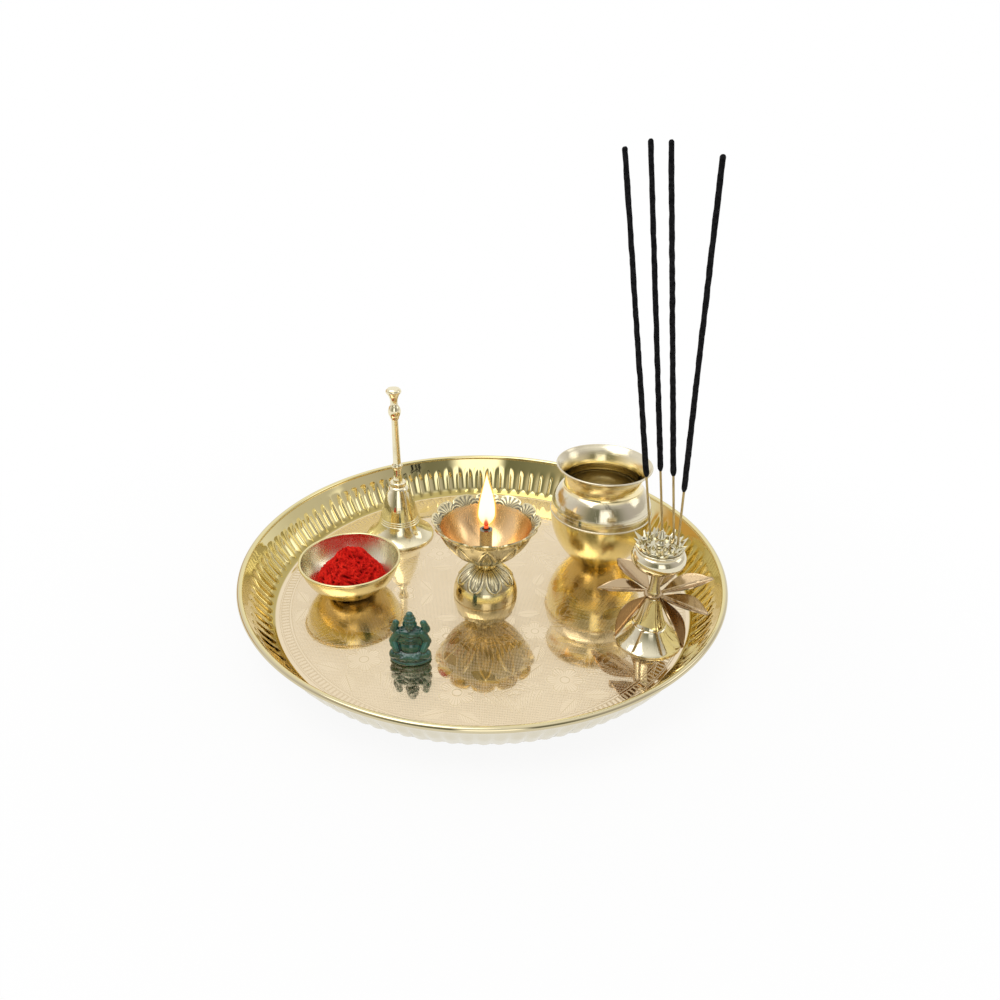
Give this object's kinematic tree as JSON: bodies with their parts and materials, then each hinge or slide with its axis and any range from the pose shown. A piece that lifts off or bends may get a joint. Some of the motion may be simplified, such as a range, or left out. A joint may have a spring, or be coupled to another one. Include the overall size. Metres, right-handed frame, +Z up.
{
  "type": "puja thali",
  "caption": "Round brass worship tray with a fluted wall, carrying a lit oil lamp, hand bell, water pot, powder bowl, incense stand with sticks and a small stone figure.",
  "frame": {"origin": "centre of the tray's underside, where it rests on a table", "axes": "+Z up out of the tray, -Y towards the user, +X to the user's right, where the incense stand is"},
  "size_m": [0.3, 0.3, 0.2692],
  "materials": {
    "polished_brass": "mirror polished, lacquered",
    "antiqued_brass": "polished on the high places, dark in the carved lines",
    "sooted_brass": "heat darkened",
    "golden_brass": "polished",
    "satin_brass": "fine turned satin",
    "coppery_brass": "polished sheet, pinkish",
    "cotton": "twisted cotton, charred at the tip",
    "red_powder": "loose matt powder",
    "bamboo": "split bamboo",
    "incense_paste": "rough matt charcoal paste",
    "green_stone": "carved and polished dark green stone"
  },
  "bodies": {
    "thali": {"thali": "polished_brass"},
    "lamp": {"lamp_foot": "antiqued_brass", "lamp_collar": "antiqued_brass", "lamp_cup": "antiqued_brass", "wick_tube": "sooted_brass", "lamp_screw": "polished_brass"},
    "wick": {"wick": "cotton"},
    "bell": {"bell_dome": "polished_brass", "bell_collar": "polished_brass", "bell_handle": "polished_brass", "clapper_eye": "polished_brass"},
    "clapper": {"clapper": "polished_brass"},
    "kalash": {"kalash_lower": "golden_brass", "kalash_upper": "satin_brass"},
    "bowl": {"bowl": "polished_brass", "kumkum": "red_powder"},
    "stand": {"stand_foot": "polished_brass", "stand_leaves": "coppery_brass", "stand_stem": "polished_brass", "stand_bulb": "polished_brass", "stand_crown": "polished_brass", "stand_finial": "polished_brass", "stand_rod": "polished_brass", "stand_nut": "polished_brass"},
    "figure": {"figure": "green_stone"},
    "stick_1": {"incense_core_1": "bamboo", "incense_paste_1": "incense_paste"},
    "stick_2": {"incense_core_2": "bamboo", "incense_paste_2": "incense_paste"},
    "stick_3": {"incense_core_3": "bamboo", "incense_paste_3": "incense_paste"},
    "stick_4": {"incense_core_4": "bamboo", "incense_paste_4": "incense_paste"}
  },
  "joints": [
    {"name": "lamp_lift", "type": "slide", "parent": "thali", "child": "lamp", "axis": [0, 0, 1], "range_m": [0, 0.12]},
    {"name": "wick_draw", "type": "slide", "parent": "lamp", "child": "wick", "axis": [0, 0, 1], "range_m": [0, 0.012]},
    {"name": "bell_lift", "type": "slide", "parent": "thali", "child": "bell", "axis": [0, 0, 1], "range_m": [0, 0.12]},
    {"name": "clapper_swing", "type": "hinge", "parent": "bell", "child": "clapper", "pos_m": [-0.06258, 0.06758, 0.0302], "axis": [1, 0, 0], "range_deg": [-25, 25]},
    {"name": "kalash_lift", "type": "slide", "parent": "thali", "child": "kalash", "axis": [0, 0, 1], "range_m": [0, 0.12]},
    {"name": "bowl_lift", "type": "slide", "parent": "thali", "child": "bowl", "axis": [0, 0, 1], "range_m": [0, 0.12]},
    {"name": "stand_lift", "type": "slide", "parent": "thali", "child": "stand", "axis": [0, 0, 1], "range_m": [0, 0.1]},
    {"name": "figure_lift", "type": "slide", "parent": "thali", "child": "figure", "axis": [0, 0, 1], "range_m": [0, 0.1]},
    {"name": "stick_1_draw", "type": "slide", "parent": "stand", "child": "stick_1", "axis": [-0.1695, -0.0227, 0.9853], "range_m": [0, 0.05]},
    {"name": "stick_2_draw", "type": "slide", "parent": "stand", "child": "stick_2", "axis": [-0.1406, 0.0228, 0.9898], "range_m": [0, 0.05]},
    {"name": "stick_3_draw", "type": "slide", "parent": "stand", "child": "stick_3", "axis": [-0.1328, -0.0069, 0.9911], "range_m": [0, 0.05]},
    {"name": "stick_4_draw", "type": "slide", "parent": "stand", "child": "stick_4", "axis": [-0.0585, -0.1091, 0.9923], "range_m": [0, 0.05]}
  ]
}
